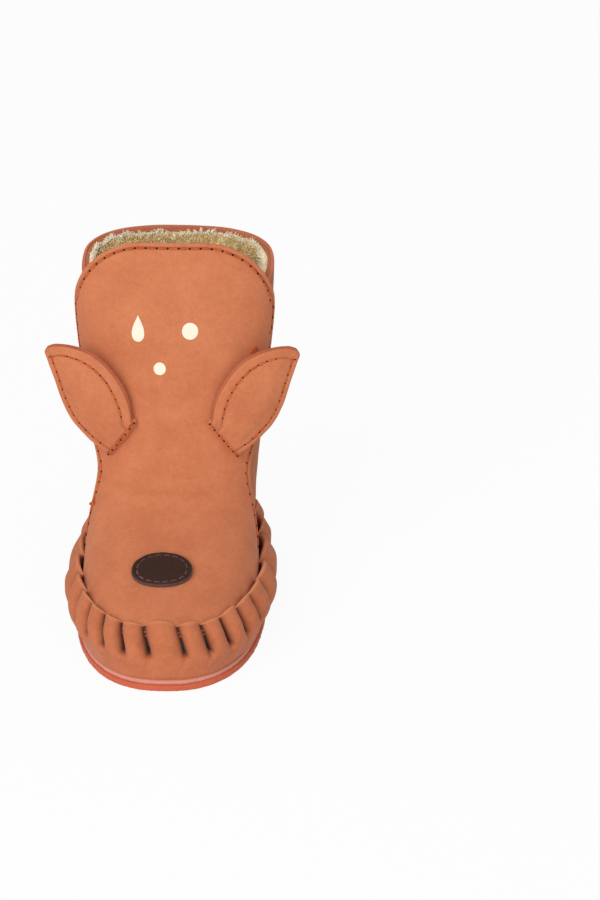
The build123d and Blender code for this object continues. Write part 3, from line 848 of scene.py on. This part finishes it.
def make_lining():
    grid = wall_grid(9.4, 0.9, UNDER + LEATHER + 0.05, CLOSURE_ROOM, 70, 130, -7.2)
    out = normals(grid)
    inner = grid - out * (1.9 + 0.25 * ripple(grid, 4, 31))[..., None]
    wall = shell("pile_wall", grid, inner, PILE)
    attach(wall, "bootie")
    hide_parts("quarter_lining", "medial_wing_lining")
    depth = rim(grid[..., 1]) - grid[..., 2]
    places, facing = scatter(inner, -out, 9500, 41, (depth < 20) * 1.0)
    top = rim(places[:, 1]) - places[:, 2]
    tufts("pile_upper", places, facing, np.where(top < 4, 0.5, 0.8), PILE, "bootie")
    places, facing = scatter(inner, -out, 8000, 42, (depth >= 19) * 1.0)
    tufts("pile_lower", places, facing, np.full(len(places), 0.95), PILE, "bootie", seed=6)
    rng = np.random.default_rng(9)
    pick = rng.integers(5, grid.shape[1] - 6, 1500)
    fringe = inner[-1, pick] + rng.normal(0, 0.22, (1500, 3))
    tufts(
        "pile_fringe", fringe, -out[-1, pick], rng.uniform(0.4, 0.66, 1500), PILE_TIP, "bootie", seed=8,
        droop=0.9
    )
    front = panel_grid(low=9.4, drop=3.0, near=(0, 0.8, 1.8, 3.0), middle=56)[::2]
    away = normals(front)
    back = front - away * (LEATHER + 0.1)
    inside = front - away * (LEATHER + 2.0 + 0.25 * ripple(front, 4, 32))[..., None]
    inside[..., 2] = np.maximum(inside[..., 2], 9.4)
    lining = shell("pile_front", back, inside, PILE)
    over_the_fold(lining)
    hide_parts("vamp_lining", "face_lining")
    places, facing = scatter(inside, -away, 9000, 43)
    tufts("pile_front_locks", places, facing, np.full(len(places), 0.8), PILE, blend=True, seed=10)
    ring = round_turn(90)
    share = np.linspace(0.02, 1, 26)[:, None, None]
    rim_line = skin(np.full(90, 9.0), ring, 2.6, 0.6)
    centre = np.array([0, 2.0, 9.0])
    plan = centre + share * (rim_line - centre)
    plan[..., 2] = 8.6 + 0.35 * ripple(plan, 6, 33) * (1 - share[..., 0] ** 4)
    base = plan.copy()
    base[..., 2] = 4.4
    sheet = np.concatenate([plan, base[::-1]], 0)
    insole = add_piece("insole", sheet.reshape(-1, 3), capped(len(sheet), 90), PILE)
    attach(insole, "bootie")
    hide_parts("insole_pile", "insole_foam")
    places, facing = scatter(plan, np.broadcast_to([0.0, 0, 1], plan.shape), 5000, 44)
    tufts("insole_locks", places, facing, np.full(len(places), 0.6), PILE, "bootie", seed=12)


# ---- gathered apron and sole ----
def make_apron():
    ridge = np.linspace(0, 2 * math.pi, 4001)
    level = skin(np.full(4001, 16.0), ridge, table=APRON)
    walked = walk(level)
    valley = np.interp((np.arange(GATHERS) + 0.5) * 2 * math.pi / GATHERS, ridge, walked)
    rng = np.random.default_rng(14)
    total = walked[-1]
    # the runs between valleys, closer samples beside each valley
    steps = np.linspace(0, 1, 24, endpoint=False)
    packed = steps - 0.62 * np.sin(2 * math.pi * steps) / (2 * math.pi)
    spans = np.diff(np.append(valley, valley[0] + total))
    along = (valley[:, None] + spans[:, None] * packed).ravel()
    lobe_u = np.tile(packed, GATHERS)
    fat = np.repeat(rng.uniform(0.85, 1.12, GATHERS), len(steps))
    phase = np.repeat(rng.uniform(-1, 1, GATHERS), len(steps))
    beside = np.minimum(lobe_u, 1 - lobe_u) * np.repeat(spans, len(steps))
    heights = np.concatenate([[3.25], np.linspace(3.3, 8, 12), np.linspace(8, 19.3, 34)[1:]])
    depth_table = [
        (3, 0), (7, 0.05), (9.0, 0.25), (10.6, 0.9), (12.0, 2.9), (13.2, 4.2), (15.5, 4.4), (18, 4.0),
        (22, 3.4)
    ]
    rows, dark = [], []
    for z in heights:
        slant = 1.9 * (16 - z) / 6 * smooth((z - 7) / 4)
        turn = np.interp((along + slant) % total, walked, ridge)
        height = z - 0.8 * smooth((z - 15) / 4) + (2.4 * fat + 0.35 * phase) * smooth((z - 15) / 5) * (
            1 - np.abs(2 * lobe_u - 1) ** 2.2
        )
        tube = (1 - np.abs(2 * lobe_u - 1) ** (2.1 + 1.2 * smooth((15 - z) / 4))) ** 0.8
        depth = float(np.interp(z, *zip(*depth_table))) * np.sqrt(fat)
        outline = skin(height, turn, table=APRON)
        ahead = skin(height, turn + 0.01, table=APRON) - skin(height, turn - 0.01, table=APRON)
        normal = np.cross(ahead, [0, 0, 1.0])
        normal /= np.linalg.norm(normal, axis=-1, keepdims=True)
        if (outline * normal).sum() < 0:
            normal = -normal
        narrow_pit = np.exp(-((beside / 0.55) ** 2)) * np.exp(-(((z - 12.3) / 1.0) ** 2)) * 1.5
        rays = 0.16 * np.cos(
            beside * 3.4 + (12 - z) * 0.4
        ) * np.exp(-(((z - 9.6) / 2.2) ** 2)) * np.exp(-beside / 3.2)
        tuck = 0.35 - 0.45 * smooth((4.3 - z) / 1.0)
        out = 0.95 * smooth((z - 6) / 6) - depth * (1 - tube) - narrow_pit + rays + tuck
        out = out + 0.1 * ripple(outline, 7, 15) + 0.45 * (fat - 1) * tube * smooth((z - 8) / 4)
        rows.append(outline + normal * out[:, None])
        # painted shade: darkest down the narrow valleys between gathers, with a broader shaded band beside
        # each valley
        pit_shade = np.exp(-((beside / 0.75) ** 2)) * smooth((z - 10.9) / 1.4)
        shade = 0.3 * np.exp(-((beside / 1.5) ** 2)) * smooth((z - 10.5) / 2)
        dark.append(np.clip(shade + pit_shade * (0.72 + 0.25 * np.exp(-(((z - 12.3) / 1.2) ** 2))), 0, 1))
    outer = np.array(rows)
    # the cut edge turns over and runs down the back of the leather, into the gap
    inward = []
    top = outer[-1]
    toward = (top - [0, 1.0, 0]) * [1, 1, 0]
    toward /= np.linalg.norm(toward, axis=1, keepdims=True)
    for fall, move in ((0.12, 0.3), (0.06, 0.85), (-0.35, 1.3), (-1.6, 1.5), (-3.6, 1.4), (-5.0, 1.2)):
        inward.append(top - toward * move + [0, 0, fall])
    rows = np.concatenate([outer, np.array(inward)])
    count = rows.shape[1]
    floor_rows = rows[0] * [0.93, 0.97, 1.0]
    low_inside = inward[-1] * [0.97, 0.985, 1] + [0, 0, -9.0]
    rows = np.concatenate([floor_rows[None], rows, low_inside[None]])
    edge = np.zeros(rows.shape[:2])
    edge[len(heights) - 1 : len(heights) + 6] = np.array([0.0, 0.35, 0.9, 0.95, 0.9, 0.5, 0.4])[:, None]
    painted_shade = np.zeros(rows.shape[:2])
    painted_shade[1 : len(heights) + 1] = np.array(dark)
    # painted shade on the turned-in leather that runs down into the gap behind the gathers
    painted_shade[len(heights) + 4 :] = 0.6
    faces = quads(len(rows), count, True).tolist()
    last = (len(rows) - 1) * count
    faces += [[last + j, last + (j + 1) % count, (j + 1) % count, j] for j in range(count)]
    apron = add_piece(
        "apron", rows.reshape(-1, 3), faces, APRON_LEATHER, {"edge": edge, "painted_shade": painted_shade}, 65
    )
    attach(apron, "bootie")
    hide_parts("gathered_apron")
    # a glimpse of thread bridges each valley near the top
    places, alongs, ups = [], [], []
    for at in range(GATHERS):
        j = at * len(steps)
        for i, lean in ((len(heights) - 5, 0.25), (len(heights) - 9, -0.3)):
            a, b = outer[i, (j + 3) % count], outer[i, (j - 3) % count]
            across = a - b
            outwards = toward[j]
            places.append(outer[i, j] + outwards * 0.35)
            alongs.append(across + [0, 0, lean])
            ups.append(outwards)
    thread = plant("gather_thread", places, np.array(alongs), np.array(ups), (0.75, 0.8, 0.8), STITCH, THREAD)
    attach(thread, "bootie")
    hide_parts("gather_stitching")


def make_slab(name, low, high, inset, material, node, rough, seed):
    """One layer of the sole, with a slightly ragged cut edge."""
    table = [(0, 0, 114, 30.5, 0.86), (5, 0, 114, 30.5, 0.86)]
    ring = round_turn(620)
    profile = [(low, 8.0), (low, 0.35), (low + 0.12, 0.08)]
    profile += [
        (z, 0.0) for z in np.linspace(low + 0.3, high - 0.25, 5)
    ] + [(high - 0.1, 0.08), (high, 0.3), (high, 8.0)]
    rows = []
    for z, extra in profile:
        at = skin(np.full(620, float(z)), ring, inset + extra, table=table)
        wobble = rough * (
            ripple(at, 2.2, seed) + 0.6 * ripple(at, 0.9, seed + 1)
        ) + 0.14 * ripple(at, 26, seed + 2)
        out = at * [1, 1, 0] / np.linalg.norm(at * [1, 1, 0], axis=1, keepdims=True)
        rows.append(at + out * (wobble * (extra < 5))[:, None])
    rows = np.array(rows)
    marks = {"edge": np.ones(rows.shape[:2]) * 0.8}
    slab = add_piece(name, rows.reshape(-1, 3), capped(len(rows), 620), material, marks, 60)
    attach(slab, "bootie")
    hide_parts(node)


# ---- nose and spots ----
NOSE = np.array([-1.5, 26.5])


def make_nose():
    z0 = float(top_at(np.array(NOSE[0]), np.array(NOSE[1])))
    turn = round_turn(120)
    _, slope_up = front_at(np.array([NOSE[0]]), np.array([z0]), np.zeros(1))
    up = slope_up[0]
    over = np.array([1.0, 0, 0])
    back = np.cross(up, over)
    outer_half = np.array([9.55, 6.35])

    def lay(share, lift):
        flat_x = outer_half[0] * power(np.cos(turn), 0.93) * share
        flat_y = outer_half[1] * power(np.sin(turn), 0.93) * share
        x, y = NOSE[0] + flat_x, NOSE[1] + flat_y * back[1]
        z = top_at(x, y)
        return np.stack([x, y - HALF_LENGTH, z], -1) + up * lift

    rows, edges, painted_shade_values = [], [], []
    shares = list(np.linspace(0.02, 0.74, 12)) + [0.78, 0.81, 0.835, 0.86, 0.885, 0.91, 0.94, 0.965, 0.985]
    for share in shares:
        lift = 2.05 + 0.32 * (1 - share**2) - 0.42 * math.exp(
            -(((share - 0.84) / 0.035) ** 2)
        ) - 0.15 * max(0, (share - 0.93) / 0.07)
        point = lay(share, lift)
        rows.append(point + up * (0.05 * ripple(point, 4, 51))[:, None])
        edges.append(0.0 if share < 0.975 else 0.5)
        # painted shade in the groove of the nose's stitch row
        painted_shade_values.append(0.45 * math.exp(-(((share - 0.84) / 0.025) ** 2)))
    for share, lift in ((1.0, 1.7), (1.005, 1.1), (1.0, 0.6), (0.985, 0.2), (0.97, -0.5)):
        rows.append(lay(share, lift))
        edges.append(1.0)
        painted_shade_values.append(0.0)
    rows = np.array(rows)
    marks = {"edge": np.repeat(edges, 120), "painted_shade": np.repeat(painted_shade_values, 120)}
    nose = add_piece("nose", rows.reshape(-1, 3), capped(len(rows), 120), NOSE_LEATHER, marks, 60)
    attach(nose, "bootie")
    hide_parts("nose_patch", "nose_padding")
    loop = rows[shares.index(0.835)] + up * 0.12
    loop = np.concatenate([loop, loop[:1]])
    sew(
        "nose_thread", [(loop, np.broadcast_to(up, loop.shape))], NOSE_THREAD, pitch=2.7, thick=0.8,
        body="bootie", replaces=("nose_stitching",)
    )


def make_spot(name, outline_x, outline_z, centre, node):
    count = len(outline_x)
    rows = []
    for share, lift in [
        (s, 0.17) for s in np.linspace(0.03, 0.9, 8)
    ] + [(0.97, 0.16), (1.0, 0.1), (1.0, -0.1)]:
        x, z = centre[0] + outline_x * share, centre[1] + outline_z * share
        at, facing = front_at(x, z, np.zeros(count))
        rows.append(at + facing * (0.22 + panel_lift(at) + lift)[:, None])
    spot = add_piece(name, np.array(rows).reshape(-1, 3), capped(len(rows), count), SPOT_PRINT)
    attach(spot, "face")
    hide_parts(node)


def make_spots():
    turn = round_turn(64)
    for name, centre, radius, node in (
        ("round_spot", (5.6, 88.5), 2.55, "large_round_spot"),
        ("small_spot", (-4.0, 77.0), 1.95, "small_round_spot")
    ):
        make_spot(name, radius * np.cos(turn), radius * np.sin(turn), centre, node)
    drop_x = 2.45 * np.sin(turn) * (np.sin(turn / 2)) ** 1.25 * 1.12
    drop_z = 4.0 * np.cos(turn)
    make_spot("tear_spot", drop_x, drop_z, (-10.9, 89.0), "teardrop_spot")


# ---- ears ----
EAR_HINGE = np.array([-16.6491, 6.63849, 55.144])
EAR_AXIS = np.array([0.582217, -0.093906, 0.807592])
EAR_TIP = np.array([-37.2, 12.5, 85.3])
ALONG = (EAR_TIP - EAR_HINGE) / np.linalg.norm(EAR_TIP - EAR_HINGE)
EAR_UP = np.cross(EAR_AXIS, ALONG)
EAR_UP /= np.linalg.norm(EAR_UP)
ACROSS = np.cross(EAR_UP, ALONG)
EAR_LENGTH = float(np.linalg.norm(EAR_TIP - EAR_HINGE))
LEAN = np.array([EAR_AXIS @ ALONG, EAR_AXIS @ ACROSS])


def run(points, count, end=1.0):
    points = np.array(points, float)
    walked = walk(points)
    found = read(np.column_stack([walked / walked[-1], points]), np.linspace(0, end, count))
    return np.stack(found, -1)


def leaf(count=80, across=48, grow=0.0):
    gap = 0.2
    root_in = 7.3 * LEAN + gap * np.array([-LEAN[1], LEAN[0]])
    root_out = -6.9 * LEAN + gap * np.array([-LEAN[1], LEAN[0]])
    tip_in, tip_out = (EAR_LENGTH + grow, 2.2), (EAR_LENGTH + grow, 2.7)
    inner = run(
        [
            root_in, (8.5, -9.2 - grow), (15.5, -10.5 - grow), (24, -9.7 - grow), (31, -6.3 - grow),
            (35.5, -1.7 - grow), (36.7 + grow, 0.7), tip_in
        ],
        count
    )
    outer = run(
        [
            root_out, (5.5, 9.4 + grow), (11.5, 10.3 + grow), (19, 9.4 + grow), (27.6, 6.7 + grow),
            (33.8, 4.8 + grow), (36.2 + grow, 3.9 + grow), tip_out
        ],
        count
    )
    share = (1 - np.cos(np.linspace(0, math.pi, across))) / 2
    share = 0.55 * share + 0.45 * np.linspace(0, 1, across)
    return inner[:, None] * (1 - share[None, :, None]) + outer[:, None] * share[None, :, None], inner, outer


def gap_to(flat, line):
    return np.sqrt(((flat[..., None, :] - line) ** 2).sum(-1).min(-1))


def make_ear(side):
    """One ear of two leather layers sewn together, its roll at the base and their stitches."""
    name = "medial" if side > 0 else "lateral"
    mirror = np.array([-side, 1, 1])
    body, base_body = (("medial_ear", "bootie") if side > 0 else ("lateral_ear", "face"))
    flat, inner, outer = leaf()
    to_in, to_out = gap_to(flat, inner), gap_to(flat, outer)
    tip = np.array([[EAR_LENGTH, 2.4]])
    nearest = np.minimum(np.minimum(to_in, to_out), gap_to(flat, tip))

    def stand(flat, lift):
        at = EAR_HINGE + flat[..., :1] * ALONG + flat[..., 1:] * ACROSS + lift[..., None] * EAR_UP
        return at * mirror

    def wave(flat):
        x, y = flat[..., 0], flat[..., 1]
        cup = 0.5 * np.sin(x / EAR_LENGTH * math.pi) - 0.012 * (y - 1) ** 2 * smooth(x / 8)
        return cup + 0.22 * np.sin(x * 0.42 + side) * smooth((4 - to_in) / 5) + 0.12 * np.sin(x * 0.35 + 2)

    sewn = smooth((34.8 - flat[..., 0]) / 1.5)
    groove = 0.2 * sewn * (np.exp(-(((to_in - 3.0) / 0.5) ** 2)) + np.exp(-(((to_out - 1.7) / 0.5) ** 2)))
    puff = 0.85 * smooth((nearest - 1.5) / 5) * smooth((flat[..., 0] + 2) / 8)
    pleat = 0.2 * np.sin(flat[..., 1] * 1.9 + 0.8) * np.exp(-((flat[..., 0] - 1) / 4.0) ** 2)
    pleat = pleat + 0.1 * ripple(stand(flat, np.zeros(flat.shape[:2])), 9, 61)
    seam = wave(flat) + 0.4
    pinch = smooth(flat[..., 0] / 4)
    front_top = seam + 0.95 - groove + puff + pleat * pinch - 0.22 * (1 - smooth(nearest / 0.6))
    # painted shade in the grooves of the ear's two stitch rows
    painted_shade = 0.4 * sewn * (np.exp(-(((to_in - 3.0) / 0.3) ** 2)) + np.exp(-(((to_out - 1.7) / 0.3) ** 2)))
    front = shell(f"{name}_ear_face", stand(flat, front_top), stand(flat, seam + 0.06), EAR_LEATHER, painted_shade)
    wider, _, _ = leaf(grow=0.28)
    back_low = seam - 1.0 - 0.3 * smooth((nearest - 1.5) / 5)
    back = shell(f"{name}_ear_lining", stand(wider, back_low), stand(wider, seam - 0.04), EAR_LEATHER)
    for piece, node in ((front, "front"), (back, "back")):
        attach(piece, body)
        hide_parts(f"{name}_ear_{node}")
    rows = []
    for to_edge, distance, first in ((to_in, 3.0, 8), (to_out, 1.7, 6)):
        i = np.arange(first, 74)
        j = np.argmin(np.abs(to_edge[i] - distance), axis=1)
        path = stand(flat, front_top)[i, j]
        keep = np.concatenate([[True], np.linalg.norm(np.diff(path, axis=0), axis=1) > 1e-3])
        path = path[keep]
        soft = np.stack(
            [np.convolve(np.pad(path[:, k], 4, mode="edge"), np.ones(9) / 9, "valid") for k in range(3)], -1
        )
        rows.append((soft, np.broadcast_to(EAR_UP * mirror, soft.shape)))
    sew(f"{name}_ear_stitches", rows, pitch=3.1, body=body, replaces=(f"{name}_ear_stitching",))
    # the rolled tuck over the ear's root
    count, around = 44, 20
    at = np.linspace(-1, 1, count)
    centre = EAR_HINGE + at[:, None] * 8.2 * EAR_AXIS
    skin_normal = np.array([-0.10, -0.985, 0.0])
    skin_normal = skin_normal - (skin_normal @ EAR_AXIS) * EAR_AXIS
    skin_normal /= np.linalg.norm(skin_normal)
    sideways = np.cross(EAR_AXIS, skin_normal)
    ring = round_turn(around)
    size = 1.35 * (1 - np.abs(at) ** 9) ** 0.5 + 0.02
    rolls = []
    for k in range(count):
        drop = -0.9 * abs(at[k]) ** 2
        reach = np.where(np.sin(ring) < 0, 2.9, 1.0)
        rolls.append(
            centre[k] + size[k] * (
                np.cos(ring)[:, None] * sideways * 1.1 + (np.sin(ring) * reach)[:, None] * skin_normal
            ) + skin_normal * (drop - 0.15)
        )
    rolls = np.array(rolls)
    rolls = rolls + skin_normal * (0.08 * ripple(rolls, 3.5, 62))[..., None]
    marks = {"edge": np.zeros(count * around)}
    points = rolls.reshape(-1, 3) * mirror
    roll = add_piece(f"{name}_ear_roll", points, capped(count, around), EAR_LEATHER, marks, 70)
    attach(roll, base_body)
    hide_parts(f"{name}_ear_tuck")
    path = centre + skin_normal * (1.32 - 0.9 * np.abs(at[:, None]) ** 2) * 0.93 + sideways * 0.45
    sew(
        f"{name}_roll_stitches",
        [(path[2:-2] * mirror, np.broadcast_to(skin_normal * mirror, path[2:-2].shape))], pitch=2.6,
        thick=0.95, body=base_body
    )


# ---- make everything ----
make_panel()
make_panel_stitching()
make_quarter()
make_lining()
make_apron()
make_slab("sole", 0.0, 2.0, 0.0, SOLE_LEATHER, "outsole", 0.07, 71)
make_slab("welt", 2.0, 3.3, 0.6, WELT_LEATHER, "midsole", 0.04, 75)
make_nose()
make_spots()
make_ear(-1)
make_ear(1)
for node, material, slot in (("hook_patch", TAPE_HOOK, "hook_tape"), ("loop_patch", TAPE_LOOP, "loop_tape")):
    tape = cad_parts[node]
    tape.data.materials.clear()
    tape.data.materials.append(material)

# ---- floor, light and camera ----
bpy.ops.mesh.primitive_plane_add(size=8, location=(0, 0, -0.0002))
ground = bpy.context.object
ground.name = "ground"
paper = bpy.data.materials.new("white_paper")
paper.use_nodes = True
wires = Wires(paper.node_tree)
shiny = paper.node_tree.nodes["Principled BSDF"]
shiny.inputs["Base Color"].default_value = (0.93, 0.93, 0.93, 1)
shiny.inputs["Roughness"].default_value = 0.9
glow = wires.add("ShaderNodeEmission", values={"Color": (1, 1, 1, 1), "Strength": 1.0})
seen = wires.add("ShaderNodeLightPath").outputs["Is Camera Ray"]
share = wires.maths("MULTIPLY", seen, 0.93)
mixed = wires.add("ShaderNodeMixShader", {0: share, 1: shiny.outputs[0], 2: glow.outputs[0]})
paper.node_tree.links.new(mixed.outputs[0], paper.node_tree.nodes["Material Output"].inputs[0])
ground.data.materials.append(paper)

world = bpy.data.worlds.new("studio")
bpy.context.scene.world = world
world.use_nodes = True
world.node_tree.nodes["Background"].inputs[0].default_value = (1, 1, 1, 1)
world.node_tree.nodes["Background"].inputs[1].default_value = 0.47


def lamp(name, place, target, size, power_watts):
    data = bpy.data.lights.new(name, "AREA")
    data.size, data.energy = size, power_watts
    made = bpy.data.objects.new(name, data)
    made.location = place
    made.rotation_euler = (Vector(target) - Vector(place)).to_track_quat("-Z", "Y").to_euler()
    bpy.context.collection.objects.link(made)


lamp("key", (-0.55, -0.95, 0.85), (0, 0, 0.05), 0.9, 10.0)
lamp("fill", (0.35, -1.1, 0.45), (0, 0, 0.06), 0.9, 3.0)

camera = bpy.data.objects.new("camera", bpy.data.cameras.new("camera"))
bpy.context.collection.objects.link(camera)
target = Vector((0.04078, 0.0, 0.05491))
azimuth, elevation, distance = math.radians(1.54), math.radians(27.69), 1.05
back = Vector(
    (math.sin(azimuth) * math.cos(elevation), -math.cos(azimuth) * math.cos(elevation), math.sin(elevation))
)
camera.location = target + back * distance
camera.rotation_euler = (-back).to_track_quat("-Z", "Y").to_euler()
camera.data.lens = 132.748
camera.data.clip_start, camera.data.clip_end = 0.01, 20
bpy.context.scene.camera = camera
bpy.context.scene.view_settings.view_transform = "Standard"
